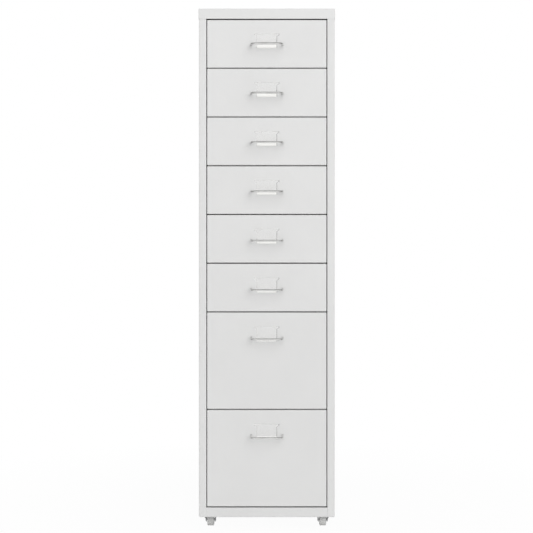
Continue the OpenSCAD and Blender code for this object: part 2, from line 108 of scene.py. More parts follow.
class CabinetSheet(bpy.types.PropertyGroup):
    """Sheet steel and its folds."""

    thickness: FloatProperty(
        name="Sheet", description="Thickness of the steel sheet",
        default=0.7 * MM, unit="LENGTH", precision=4,
    )
    fold: FloatProperty(
        name="Fold", description="Outer radius of every fold",
        default=1.7 * MM, unit="LENGTH", precision=4,
    )
    corner: FloatProperty(
        name="Corner", description="Radius of the ground corners",
        default=1.5 * MM, unit="LENGTH", precision=4,
    )
    ease: FloatProperty(
        name="Ease", description="Rounding of cut edges",
        default=0.12 * MM, unit="LENGTH", precision=5,
    )
    colour: FloatVectorProperty(
        name="Coat", description="Colour of the powder coat",
        default=(0.79, 0.79, 0.785), size=3, subtype="COLOR",
    )


class CabinetPull(bpy.types.PropertyGroup):
    """Wire pulls."""

    wire: FloatProperty(
        name="Wire", description="Wire diameter",
        default=4 * MM, unit="LENGTH", precision=4,
    )
    centres: FloatProperty(
        name="Centres", description="Distance between the legs",
        default=64 * MM, unit="LENGTH", precision=4,
    )
    reach: FloatProperty(
        name="Reach", description="From the face to the bar's middle",
        default=26 * MM, unit="LENGTH", precision=4,
    )
    bend: FloatProperty(
        name="Bend", description="Radius of the corners",
        default=9 * MM, unit="LENGTH", precision=4,
    )
    droop: FloatProperty(
        name="Droop", description="How far the bar lies below its holes",
        default=2 * MM, unit="LENGTH", precision=4,
    )
    foot: FloatProperty(
        name="Foot", description="Length of the foot behind the front",
        default=5 * MM, unit="LENGTH", precision=4,
    )
    foot_bend: FloatProperty(
        name="Foot bend", description="Radius where the foot turns",
        default=3 * MM, unit="LENGTH", precision=4,
    )


class CabinetLabelHolder(bpy.types.PropertyGroup):
    """Clear label holders."""

    thickness: FloatProperty(
        name="Plastic", description="Thickness of the plastic",
        default=1 * MM, unit="LENGTH", precision=4,
    )
    width: FloatProperty(
        name="Pocket", description="Width of the pocket",
        default=42 * MM, unit="LENGTH", precision=4,
    )
    top_width: FloatProperty(
        name="Top", description="Width of the flared top",
        default=51 * MM, unit="LENGTH", precision=4,
    )
    rise: FloatProperty(
        name="Rise", description="Top edge above the pull's holes",
        default=23 * MM, unit="LENGTH", precision=4,
    )
    flare_end: FloatProperty(
        name="Flare end", description="Height at which the flare ends",
        default=17 * MM, unit="LENGTH", precision=4,
    )
    fall: FloatProperty(
        name="Fall", description="Underside below the pull's holes",
        default=7.5 * MM, unit="LENGTH", precision=4,
    )
    stand: FloatProperty(
        name="Stand", description="Front lip out from the face",
        default=8.5 * MM, unit="LENGTH", precision=4,
    )
    trough: FloatProperty(
        name="Trough", description="Room inside the trough",
        default=1.6 * MM, unit="LENGTH", precision=4,
    )
    lip: FloatProperty(
        name="Lip", description="Height of the front lip",
        default=5.5 * MM, unit="LENGTH", precision=4,
    )
    prong: FloatProperty(
        name="Prong", description="Width of a prong",
        default=7 * MM, unit="LENGTH", precision=4,
    )
    prong_centres: FloatProperty(
        name="Prong centres", description="Distance between the prongs",
        default=30 * MM, unit="LENGTH", precision=4,
    )


class CabinetStudio(bpy.types.PropertyGroup):
    """Camera and light."""

    distance: FloatProperty(
        name="Distance", description="Camera to the cabinet's front",
        default=2.2, unit="LENGTH", precision=3,
    )
    eye_height: FloatProperty(
        name="Eye height", description="Camera above the floor",
        default=0.5463, unit="LENGTH", precision=3,
    )
    scale: FloatProperty(
        name="Scale", description="Picture pixels to a metre at the cabinet's front",
        default=487.75, precision=2,
    )
    frame_px: IntProperty(
        name="Frame", description="Width and height of the picture in pixels", default=533,
    )


# ---- Meshes ----


def link(name, mesh, material, body, replaced):
    """Puts a mesh into the scene as a piece that rides on a body and stands for frame nodes."""
    mesh.polygons.foreach_set("use_smooth", np.ones(len(mesh.polygons), bool))
    mesh.set_sharp_from_angle(angle=SHARP_ANGLE)
    mesh.materials.append(material)
    piece = bpy.data.objects.new(name, mesh)
    bpy.context.scene.collection.objects.link(piece)
    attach(piece, body)
    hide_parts(*replaced)
    return piece


def closed_mesh(name, points, faces, fills=()):
    """Mesh from an (n, 3) array and lists of vertex numbers, with its faces turned outwards.

    fills are groups of closed loops of vertex numbers: each group's first loop is an outline in a
    plane and the rest are holes in it, and the plane between them is filled with triangles.
    """
    mesh = bpy.data.meshes.new(name)
    mesh.from_pydata(points.tolist(), [], [list(map(int, face)) for face in faces])
    bm = bmesh.new()
    bm.from_mesh(mesh)
    bm.verts.ensure_lookup_table()
    for group in fills:
        edges = []
        for loop in group:
            for a, b in zip(loop, np.roll(loop, -1)):
                pair = (bm.verts[int(a)], bm.verts[int(b)])
                edges.append(bm.edges.get(pair) or bm.edges.new(pair))
        bmesh.ops.triangle_fill(bm, use_beauty=True, use_dissolve=False, edges=edges)
    bmesh.ops.recalc_face_normals(bm, faces=bm.faces)
    bm.to_mesh(mesh)
    bm.free()
    return mesh


def joined(*parts):
    """Several (points, faces) shells as one."""
    points, faces, start = [], [], 0
    for part_points, part_faces in parts:
        points.append(part_points)
        faces += [np.asarray(face) + start for face in part_faces]
        start += len(part_points)
    return np.concatenate(points), faces


def grid_faces(rings, around):
    """Quads of a grid of rings, each of so many points and closed on itself."""
    i, j = np.meshgrid(np.arange(rings - 1), np.arange(around), indexing="ij")
    k = (j + 1) % around
    here, there = i * around, (i + 1) * around
    return list(np.stack([here + j, here + k, there + k, there + j], -1).reshape(-1, 4))


def tube(rings):
    """Closed shell from an (n, m, 3) array: n rings of m points, with a flat face over each end."""
    n, m = rings.shape[:2]
    faces = grid_faces(n, m)
    faces.append(np.arange(m)[::-1])
    faces.append((n - 1) * m + np.arange(m))
    return rings.reshape(-1, 3), faces


def rounded_ring(half_u, half_v, radius, steps=8):
    """Rounded rectangle: a quarter circle of the radius round each corner's centre, in order."""
    angle = np.linspace(0, math.pi / 2, steps + 1)
    arcs = []
    for quarter, (su, sv) in enumerate(((1, 1), (-1, 1), (-1, -1), (1, -1))):
        turned_by = angle + quarter * math.pi / 2
        arcs.append(np.stack([
            su * (half_u - radius) + radius * np.cos(turned_by),
            sv * (half_v - radius) + radius * np.sin(turned_by),
        ], -1))
    return np.concatenate(arcs)


def pan_profile(depth, sheet, fold, steps=8):
    """Section of a folded pan as (inset, height) from its inner face, down the inside of the wall,
    round the eased rim and up the outside to its outer face. The fold is two quarter circles about
    one centre, a sheet apart, and both faces go on a little way past it so that they shade flat."""
    ease, past = sheet * 0.2, sheet * 0.5
    angle = np.linspace(0, math.pi / 2, steps + 1)
    inside = fold - sheet
    inner = np.stack([fold - inside * np.sin(angle), depth - fold + inside * np.cos(angle)], -1)
    outer = np.stack([fold - fold * np.cos(angle), depth - fold + fold * np.sin(angle)], -1)
    rim = np.array([[sheet, ease], [sheet - ease, 0], [ease, 0], [0, ease]])
    start, end = [[fold + past, depth - sheet]], [[fold + past, depth]]
    return np.concatenate([start, inner, rim, outer, end])


def box_loop(u, v, half_u, half_v):
    """Corners of a rectangle about (u, v)."""
    return np.array([
        [u + half_u, v + half_v], [u - half_u, v + half_v],
        [u - half_u, v - half_v], [u + half_u, v - half_v],
    ])


def circle_loop(u, v, radius, steps=20):
    """Points of a circle about (u, v)."""
    angle = np.linspace(0, 2 * math.pi, steps, endpoint=False)
    return np.stack([u + radius * np.cos(angle), v + radius * np.sin(angle)], -1)


def folded_pan(name, half_u, half_v, depth, props, place, holes=()):
    """Folded pan: a rounded rectangle carried along the pan's section, shrinking by the section's
    inset, with its faces filled round any holes. place turns (u, v, height) into the frame."""
    least_radius = 0.05 * MM
    section = pan_profile(depth, props.thickness, props.fold)
    points = []
    for inset, height in section:
        radius = max(props.corner - inset, least_radius)
        ring = rounded_ring(half_u - inset, half_v - inset, radius)
        points.append(np.column_stack([ring, np.full(len(ring), height)]))
    count, last = len(points[0]), len(section) - 1
    faces = grid_faces(len(section), count)
    inside, outside = [np.arange(count)], [last * count + np.arange(count)]
    start = len(section) * count
    for loop in holes:
        size = len(loop)
        for height in (depth - props.thickness, depth):
            points.append(np.column_stack([loop, np.full(size, height)]))
        faces += [face + start for face in grid_faces(2, size)]
        inside.append(start + np.arange(size))
        outside.append(start + size + np.arange(size))
        start += 2 * size
    return closed_mesh(name, place(np.concatenate(points)), faces, fills=(inside, outside))


def bent_path(points, radius, steps=6):
    """Centre line through corner points in a plane, each inner corner replaced by an arc of the
    radius that touches both its straights."""
    points = np.asarray(points, float)
    line = [points[:1]]
    for before, corner, after in zip(points[:-2], points[1:-1], points[2:]):
        d0 = (corner - before) / np.linalg.norm(corner - before)
        d1 = (after - corner) / np.linalg.norm(after - corner)
        turn = math.acos(np.clip(d0 @ d1, -1, 1))
        towards = (d1 - d0) / np.linalg.norm(d1 - d0)
        centre = corner + towards * radius / math.cos(turn / 2)
        angle = np.linspace(-turn / 2, turn / 2, steps + 1)[:, None]
        along = (d0 + d1) / np.linalg.norm(d0 + d1)
        line.append(centre - towards * radius * np.cos(angle) + along * radius * np.sin(angle))
    line.append(points[-1:])
    return np.concatenate(line)


def bent_path_mixed(corners, radii, steps):
    """As bent_path, with a radius of its own at each inner corner."""
    line = [corners[:1]]
    for k, radius in enumerate(radii):
        line.append(bent_path(corners[k:k + 3], radius, steps)[1:-1])
    line.append(corners[-1:])
    return np.concatenate(line)


def line_frames(line):
    """Unit tangents and left-hand normals along a 2-D line, tangents averaged at its points."""
    step = np.diff(line, axis=0)
    step /= np.linalg.norm(step, axis=1, keepdims=True)
    tangent = np.concatenate([step[:1], step[:-1] + step[1:], step[-1:]])
    tangent /= np.linalg.norm(tangent, axis=1, keepdims=True)
    return tangent, np.stack([-tangent[:, 1], tangent[:, 0]], -1)


def wire_rings(line, radius, sides=20):
    """Circular section swept along a line in the XY plane, with each end eased to a flat: rings of
    points about the line, in the plane of its normal and Z."""
    tangent, normal = line_frames(line)
    angle = np.linspace(0, 2 * math.pi, sides, endpoint=False)
    ease = radius * 0.3
    line = np.concatenate([line[:1], line[:1] + tangent[:1] * ease, line[1:-1],
                           line[-1:] - tangent[-1:] * ease, line[-1:]])
    normal = np.concatenate([normal[:1], normal[:1], normal[1:-1], normal[-1:], normal[-1:]])
    size = np.full(len(line), radius)
    size[[0, -1]] = radius - ease
    ring = normal[:, None, :] * np.cos(angle)[None, :, None]
    flat = line[:, None, :] + ring * size[:, None, None]
    height = np.sin(angle)[None, :, None] * size[:, None, None]
    return np.concatenate([flat, height], -1)


def strip_rings(line, half_widths, thickness, margin, steps=6):
    """Flat strip with round edges along a line in the YZ plane: each ring is two half circles of
    the strip's thickness, set out along X by the half width at that point of the line, joined over
    both faces through points a margin in from the edges. Also returns the side of each point at
    the cut edges, 1 or -1 and 0 between them, the same for every ring."""
    _, normal = line_frames(line)
    angle = np.linspace(-math.pi / 2, math.pi / 2, steps + 1)
    inner, arc = np.array([-margin, margin]), np.ones(steps + 1)
    across = np.concatenate([np.cos(angle), inner * 0, -np.cos(angle), inner * 0])
    through = np.concatenate([np.sin(angle), [1, 1], -np.sin(angle), [-1, -1]])
    side = np.concatenate([arc, [1, -1], -arc, [-1, 1]])
    inset = np.concatenate([arc * 0, [margin, margin], arc * 0, [margin, margin]])
    radius = thickness / 2
    x = side[None] * (half_widths[:, None] - radius - inset[None]) + across[None] * radius
    yz = line[:, None, :] + normal[:, None, :] * through[None, :, None] * radius
    return np.concatenate([x[..., None], yz], -1), np.where(inset == 0, side, 0)


def turned(profile, steps=64):
    """Solid of revolution: an (n, 2) profile of radius and height carried round the height axis."""
    angle = np.linspace(0, 2 * math.pi, steps, endpoint=False)
    ring = np.stack([np.cos(angle), np.sin(angle)], -1)
    height = np.broadcast_to(profile[:, None, 1:], (len(profile), steps, 1))
    return np.concatenate([profile[:, None, :1] * ring[None], height], -1)


def store(mesh, name, values):
    """Keeps one number for each vertex, for the material to read."""
    data = mesh.attributes.new(name, "FLOAT", "POINT").data
    data.foreach_set("value", np.asarray(values, np.float32))


# ---- Materials ----

# Most of a noise texture's values lie in this range
NOISE_RANGE = (0.3, 0.7)


def new_group(name, inputs, outputs):
    """Empty shader node group with named sockets, as (tree, its input node, its output node)."""
    tree = bpy.data.node_groups.new(name, "ShaderNodeTree")
    for label, kind, value in inputs:
        socket = tree.interface.new_socket(name=label, in_out="INPUT", socket_type=kind)
        socket.default_value = value
    for label, kind in outputs:
        tree.interface.new_socket(name=label, in_out="OUTPUT", socket_type=kind)
    return tree, tree.nodes.new("NodeGroupInput"), tree.nodes.new("NodeGroupOutput")


def add_node(tree, kind, **settings):
    """Adds a node and sets its attributes, or its inputs where the name is a socket's."""
    made = tree.nodes.new(kind)
    for key, value in settings.items():
        if hasattr(made, key):
            setattr(made, key, value)
        else:
            made.inputs[key.replace("_", " ").title()].default_value = value
    return made


def feed(tree, given, socket):
    """Links an output to a socket, or sets the socket where a plain value is given."""
    if isinstance(given, bpy.types.NodeSocket):
        tree.links.new(given, socket)
    else:
        socket.default_value = given


def maths(tree, operation, *values, clamp=False):
    """Math node fed with outputs or numbers in order, as its output."""
    made = tree.nodes.new("ShaderNodeMath")
    made.operation = operation
    made.use_clamp = clamp
    for given, socket in zip(values, made.inputs):
        feed(tree, given, socket)
    return made.outputs[0]


def blend(tree, factor, first, second):
    """Colour Mix node between two outputs or colours, as its output."""
    made = tree.nodes.new("ShaderNodeMix")
    made.data_type = "RGBA"
    tree.links.new(factor, made.inputs["Factor"])
    feed(tree, first, made.inputs[6])
    feed(tree, second, made.inputs[7])
    return made.outputs[2]


def ramp_between(tree, factor, low, high, out_low, out_high):
    """Maps a factor from low..high to out_low..out_high and returns the output socket."""
    ranged = tree.nodes.new("ShaderNodeMapRange")
    ranged.inputs["From Min"].default_value = low
    ranged.inputs["From Max"].default_value = high
    ranged.inputs["To Min"].default_value = out_low
    ranged.inputs["To Max"].default_value = out_high
    tree.links.new(factor, ranged.inputs["Value"])
    return ranged.outputs["Result"]


def coat_group():
    """Powder coat: a fine pebbled height, a broad faint mottle in the colour and a little
    unevenness in the gloss, all from noise on the piece's own coordinates."""
    tree, given, out = new_group(
        "Powder coat",
        [("Colour", "NodeSocketColor", (0.8, 0.8, 0.8, 1)), ("Mottle", "NodeSocketFloat", 0.02),
         ("Gloss", "NodeSocketFloat", 0.4)],
        [("Colour", "NodeSocketColor"), ("Roughness", "NodeSocketFloat"),
         ("Height", "NodeSocketFloat")],
    )
    gloss_drift = 0.05
    place = tree.nodes.new("ShaderNodeTexCoord")
    broad = add_node(tree, "ShaderNodeTexNoise", scale=9.0, detail=3.0)
    pebble = add_node(tree, "ShaderNodeTexNoise", scale=1100.0, detail=2.0)
    cloud = add_node(tree, "ShaderNodeTexNoise", scale=60.0, detail=4.0)
    for texture in (broad, pebble, cloud):
        tree.links.new(place.outputs["Object"], texture.inputs["Vector"])
    centred = ramp_between(tree, broad.outputs["Fac"], *NOISE_RANGE, -1.0, 1.0)
    shade = tree.nodes.new("ShaderNodeHueSaturation")
    value = maths(tree, "MULTIPLY_ADD", centred, given.outputs["Mottle"], 1.0)
    tree.links.new(value, shade.inputs["Value"])
    tree.links.new(given.outputs["Colour"], shade.inputs["Color"])
    tree.links.new(shade.outputs["Color"], out.inputs["Colour"])
    drift = ramp_between(tree, cloud.outputs["Fac"], *NOISE_RANGE, -gloss_drift, gloss_drift)
    tree.links.new(maths(tree, "ADD", drift, given.outputs["Gloss"]), out.inputs["Roughness"])
    tree.links.new(pebble.outputs["Fac"], out.inputs["Height"])
    return tree


def metal_group():
    """Plated metal: the colour drifts between two tones and the gloss breaks up in fine drawn
    scratches, noise stretched along X."""
    tree, given, out = new_group(
        "Plated metal",
        [("Light", "NodeSocketColor", (0.8, 0.8, 0.8, 1)),
         ("Dark", "NodeSocketColor", (0.6, 0.6, 0.6, 1)),
         ("Patch", "NodeSocketFloat", 120.0), ("Gloss", "NodeSocketFloat", 0.2),
         ("Spread", "NodeSocketFloat", 0.1)],
        [("Colour", "NodeSocketColor"), ("Roughness", "NodeSocketFloat"),
         ("Height", "NodeSocketFloat")],
    )
    patch_range = (0.35, 0.65)
    place = tree.nodes.new("ShaderNodeTexCoord")
    stretch = tree.nodes.new("ShaderNodeMapping")
    stretch.inputs["Scale"].default_value = (0.1, 1.0, 1.0)
    patches = add_node(tree, "ShaderNodeTexNoise", detail=3.0)
    scratches = add_node(tree, "ShaderNodeTexNoise", scale=2400.0, detail=2.0)
    tree.links.new(place.outputs["Object"], patches.inputs["Vector"])
    tree.links.new(given.outputs["Patch"], patches.inputs["Scale"])
    tree.links.new(place.outputs["Object"], stretch.inputs["Vector"])
    tree.links.new(stretch.outputs["Vector"], scratches.inputs["Vector"])
    share = ramp_between(tree, patches.outputs["Fac"], *patch_range, 0.0, 1.0)
    colour = blend(tree, share, given.outputs["Light"], given.outputs["Dark"])
    tree.links.new(colour, out.inputs["Colour"])
    rough = maths(tree, "MULTIPLY_ADD", scratches.outputs["Fac"], given.outputs["Spread"],
                  given.outputs["Gloss"])
    tree.links.new(rough, out.inputs["Roughness"])
    tree.links.new(scratches.outputs["Fac"], out.inputs["Height"])
    return tree


def new_material(name):
    """Material with an empty Principled surface, as (material, tree, shader)."""
    material = bpy.data.materials.new(name)
    material.use_nodes = True
    tree = material.node_tree
    return material, tree, tree.nodes["Principled BSDF"]


def grouped_material(name, group, inputs, depth, bump):
    """Material whose colour, roughness and bump come from a group with these inputs, as
    (material, shader). The bump is so deep at full strength."""
    material, tree, shader = new_material(name)
    finish = tree.nodes.new("ShaderNodeGroup")
    finish.node_tree = group
    for label, value in inputs.items():
        finish.inputs[label].default_value = value
    tree.links.new(finish.outputs["Colour"], shader.inputs["Base Color"])
    tree.links.new(finish.outputs["Roughness"], shader.inputs["Roughness"])
    relief = add_node(tree, "ShaderNodeBump", distance=depth, strength=bump)
    tree.links.new(finish.outputs["Height"], relief.inputs["Height"])
    tree.links.new(relief.outputs["Normal"], shader.inputs["Normal"])
    return material, shader


def coat_material(name, group, colour, mottle, gloss, bump):
    """Powder-coated steel, or moulded plastic with a grain, through the coat group."""
    inputs = {"Colour": (*colour, 1), "Mottle": mottle, "Gloss": gloss}
    grouped_material(name, group, inputs, 0.05 * MM, bump)


def metal_material(name, group, light, dark, patch, gloss, spread, bump):
    """Plated metal through the metal group."""
    inputs = {"Light": (*light, 1), "Dark": (*dark, 1), "Patch": patch, "Gloss": gloss,
              "Spread": spread}
    _, shader = grouped_material(name, group, inputs, 0.02 * MM, bump)
    shader.inputs["Metallic"].default_value = 1.0


def clear_plastic_material():
    """Thin clear plastic: its faces are nearly invisible, its cut edges are coloured dark grey as
    painted shade, darkest on the right, and the trough, where two walls lie behind each other, is
    drawn nearly opaque and near white with a faint painted glow, standing in for the glint on its
    fold. It lets most of the light through, so what lies behind it is hardly shaded. Faint flow
    marks change its gloss."""
    gloss_range = (0.04, 0.12)
    face_alpha, full_alpha = 0.05, 0.9
    shading_share = 0.05
    # The faces' near white, and the dark grey painted on the cut edges as painted shade
    face_colour, edge_shade_colour = (0.97, 0.965, 0.945, 1), (0.12, 0.125, 0.13, 1)
    # Painted glow: the trough gives off a faint light of this colour though it is no lamp, standing
    # in for the glint on its fold
    trough_painted_glow = (1, 0.99, 0.95, 1)
    _, tree, shader = new_material("clear plastic")
    shader.inputs["IOR"].default_value = 1.5
    # Strength of the painted glow in the trough
    shader.inputs["Emission Strength"].default_value = 0.12
    place = tree.nodes.new("ShaderNodeTexCoord")
    flow = add_node(tree, "ShaderNodeTexNoise", scale=90.0, detail=2.0)
    tree.links.new(place.outputs["Object"], flow.inputs["Vector"])
    rough = ramp_between(tree, flow.outputs["Fac"], *NOISE_RANGE, *gloss_range)
    tree.links.new(rough, shader.inputs["Roughness"])
    # Painted shade: the edge mask turns the cut edges dark grey and nearly opaque
    edge = add_node(tree, "ShaderNodeAttribute", attribute_name="edge").outputs["Fac"]
    trough = add_node(tree, "ShaderNodeAttribute", attribute_name="trough").outputs["Fac"]
    tree.links.new(blend(tree, edge, face_colour, edge_shade_colour), shader.inputs["Base Color"])
    solid = maths(
        tree, "MAXIMUM",
        ramp_between(tree, edge, 0.0, 1.0, face_alpha, full_alpha),
        ramp_between(tree, trough, 0.0, 1.0, face_alpha, full_alpha),
    )
    path = tree.nodes.new("ShaderNodeLightPath")
    counted = ramp_between(tree, path.outputs["Is Camera Ray"], 0.0, 1.0, shading_share, 1.0)
    tree.links.new(maths(tree, "MULTIPLY", solid, counted), shader.inputs["Alpha"])
    # Painted glow, only where the trough mask is
    glow = blend(tree, trough, (0, 0, 0, 1), trough_painted_glow)
    tree.links.new(glow, shader.inputs["Emission Color"])


def build_materials():
    """All finishes of the cabinet, by name."""
    if "white coat" in bpy.data.materials:
        return bpy.data.materials
    coat, metal = coat_group(), metal_group()
    coat_material(
        "white coat", coat, colour=tuple(bpy.context.scene.cabinet_sheet.colour),
        mottle=0.012, gloss=0.42, bump=0.25,
    )
    coat_material(
        "grey wheel plastic", coat, colour=(0.8, 0.8, 0.79), mottle=0.04, gloss=0.45, bump=0.3,
    )
    metal_material(
        "bright wire", metal, light=(0.72, 0.72, 0.71), dark=(0.62, 0.62, 0.61),
        patch=60.0, gloss=0.12, spread=0.08, bump=0.05,
    )
    metal_material(
        "zinc plate", metal, light=(0.4, 0.405, 0.41), dark=(0.25, 0.255, 0.26),
        patch=220.0, gloss=0.26, spread=0.16, bump=0.15,
    )
    metal_material(
        "bearing steel", metal, light=(0.72, 0.72, 0.73), dark=(0.6, 0.6, 0.61),
        patch=200.0, gloss=0.12, spread=0.05, bump=0.05,
    )
    clear_plastic_material()
    return bpy.data.materials


# ---- Operators for the pieces ----


class CABINET_OT_finish_parts(bpy.types.Operator):
    """Gives the frame's own parts their finishes."""

    bl_idname = "cabinet.finish_parts"
    bl_label = "Finish Frame Parts"

    def execute(self, context):
        finishes = build_materials()
        for name, part in frame["nodes"].items():
            part.data.materials.clear()
            part.data.materials.append(finishes[FINISH_OF_SLOT[SLOT_OF_NODE[name]]])
        return {"FINISHED"}


EASED_NODES = (
    "side_panel_left", "side_panel_right", "back_panel", "runners_left", "runners_right",
    "carcass_screws", "caster_plates", "caster_screws", "caster_nuts", "caster_kingpins",
    *(f"drawer_tray_{i}" for i in DRAWERS),
    *(f"caster_{piece}_{corner}" for piece in ("fork", "axle") for corner in CORNERS),
)


class CABINET_OT_eased_parts(bpy.types.Operator):
    """Builds the folded panels, runners, trays and caster ironwork with eased edges: a merged copy
    of each frame part, flat faces made whole, with every edge rounded by a small bevel."""

    bl_idname = "cabinet.eased_parts"
    bl_label = "Panels, Trays and Caster Ironwork"

    def execute(self, context):
        merge_distance, flat_angle = 0.001 * MM, math.radians(0.5)
        finishes = build_materials()
        for name in EASED_NODES:
            bm = bmesh.new()
            bm.from_mesh(frame["nodes"][name].data)
            bmesh.ops.remove_doubles(bm, verts=bm.verts, dist=merge_distance)
            bmesh.ops.dissolve_limit(bm, angle_limit=flat_angle, verts=bm.verts, edges=bm.edges)
            mesh = bpy.data.meshes.new(f"eased_{name}")
            bm.to_mesh(mesh)
            bm.free()
            slot = SLOT_OF_NODE[name]
            finish = finishes[FINISH_OF_SLOT[slot]]
            piece = link(f"eased_{name}", mesh, finish, BODY_OF_NODE[name], [name])
            ease = piece.modifiers.new("ease", "BEVEL")
            ease.width = context.scene.cabinet_sheet.ease
            ease.segments = 2
            ease.limit_method = "ANGLE"
            ease.angle_limit = SHARP_ANGLE
            ease.harden_normals = True
        return {"FINISHED"}


class CABINET_OT_sheet_metal(bpy.types.Operator):
    """Builds the cap and the base pan as folded pans, the cap open below and the pan above."""

    bl_idname = "cabinet.sheet_metal"
    bl_label = "Cap and Base Pan"

    def execute(self, context):
        props = context.scene.cabinet_sheet
        finish = build_materials()["white coat"]
        for name, part, up in (("cap", "top_cap", 1), ("rail_and_base", "base_pan", -1)):
            low, high = span(part)
            middle, half = (low + high) / 2, (high - low) / 2
            rim = low[2] if up > 0 else high[2]
            mesh = folded_pan(
                name, half[0], half[1], high[2] - low[2], props,
                lambda p: np.column_stack([middle[:2] + p[:, :2], rim + up * p[:, 2]]),
            )
            link(name, mesh, finish, "carcass", [part])
        return {"FINISHED"}


def foot_depth():
    """How far behind the face a pull's feet lie: the sheet, the wire's room and the foot's bend."""
    scene = bpy.context.scene
    return scene.cabinet_sheet.thickness + WIRE_ROOM + scene.cabinet_pull.foot_bend


def pull_height(i):
    """Height of drawer i's pull holes: the pull's box reaches the same way past its holes on every
    drawer, a wire's radius above them."""
    pull = bpy.context.scene.cabinet_pull
    tilt = math.atan2(pull.droop, pull.reach)
    return span(f"drawer_pull_{i}")[1][2] - pull.wire / 2 - foot_depth() * math.sin(tilt)


class CABINET_OT_drawer_fronts(bpy.types.Operator):
    """Builds each drawer front as a folded pan with holes for its pull and label holder."""

    bl_idname = "cabinet.drawer_fronts"
    bl_label = "Drawer Fronts"

    def execute(self, context):
        props = context.scene.cabinet_sheet
        pull = context.scene.cabinet_pull
        holder = context.scene.cabinet_holder
        finish = build_materials()["white coat"]
        hole_radius = pull.wire / 2 + WIRE_ROOM
        slot_half_u = holder.prong / 2 + SLOT_SIDE_ROOM
        slot_half_v = holder.thickness / 2 + SLOT_TOP_ROOM
        for i in DRAWERS:
            low, high = span(f"drawer_front_{i}")
            middle, half = (low + high) / 2, (high - low) / 2
            hole_v = pull_height(i) - middle[2]
            slot_v = hole_v + holder.rise - holder.thickness / 2
            holes = [circle_loop(s * pull.centres / 2, hole_v, hole_radius) for s in (-1, 1)]
            holes += [
                box_loop(s * holder.prong_centres / 2, slot_v, slot_half_u, slot_half_v)
                for s in (-1, 1)
            ]
            mesh = folded_pan(
                f"front_{i}", half[0], half[2], high[1] - low[1], props,
                lambda p: np.column_stack(
                    [middle[0] + p[:, 0], high[1] - p[:, 2], middle[2] + p[:, 1]]
                ),
                holes,
            )
            link(f"front_{i}", mesh, finish, f"drawer_{i}", [f"drawer_front_{i}"])
        return {"FINISHED"}


class CABINET_OT_pulls(bpy.types.Operator):
    """Builds the wire pulls, one swept wire each: a bar between two legs that go through the front,
    tilted down to the bar, with the feet turned outwards behind it."""

    bl_idname = "cabinet.pulls"
    bl_label = "Wire Pulls"

    def execute(self, context):
        pull = context.scene.cabinet_pull
        finish = build_materials()["bright wire"]
        leg = math.hypot(pull.reach, pull.droop)
        tilt = math.atan2(pull.droop, pull.reach)
        half, turn_y = pull.centres / 2, foot_depth()
        foot_end = half + pull.foot_bend + pull.foot
        corners = np.array([
            [-foot_end, turn_y], [-half, turn_y], [-half, -leg],
            [half, -leg], [half, turn_y], [foot_end, turn_y],
        ])
        radii = [pull.foot_bend, pull.bend, pull.bend, pull.foot_bend]
        line = bent_path_mixed(corners, radii, steps=12)
        rings = wire_rings(line, pull.wire / 2)
        y, z = rings[..., 1], rings[..., 2]
        for i in DRAWERS:
            y_face = span(f"drawer_front_{i}")[0][1]
            placed = np.stack([
                rings[..., 0],
                y_face + y * math.cos(tilt) - z * math.sin(tilt),
                pull_height(i) + y * math.sin(tilt) + z * math.cos(tilt),
            ], -1)
            mesh = closed_mesh(f"pull_{i}", *tube(placed))
            link(f"pull_{i}", mesh, finish, f"drawer_{i}", [f"drawer_pull_{i}"])
        return {"FINISHED"}


# Label holders: inner radius of their folds, how far in from an edge the faces start to round,
# height of a prong behind the front, and where the flare starts over its end
HOLDER_FOLD = 0.4 * MM
HOLDER_MARGIN = 0.7 * MM
PRONG_RISE = 5 * MM
FLARE_START, FLARE_POINT = 0.5 * MM, 1 * MM
# The trough's mask, which makes the trough nearly opaque and near white and sets its painted glow:
# extra points this far up the slope hold it, it fades out between two heights over the underside,
# and points this near the lip are all in it
TROUGH_FAR, TROUGH_NEAR = 4 * MM, 2.5 * MM
TROUGH_FADE = (2.4 * MM, 3.9 * MM)
LIP_NEAR = 0.1 * MM
# How strongly the cut edges show their painted shade, a dark grey: strongest on the right edge,
# fainter on the top and faintest on the left
RIGHT_EDGE_SHADE, LEFT_EDGE_SHADE, TOP_EDGE_SHADE = 1.0, 0.3, 0.4


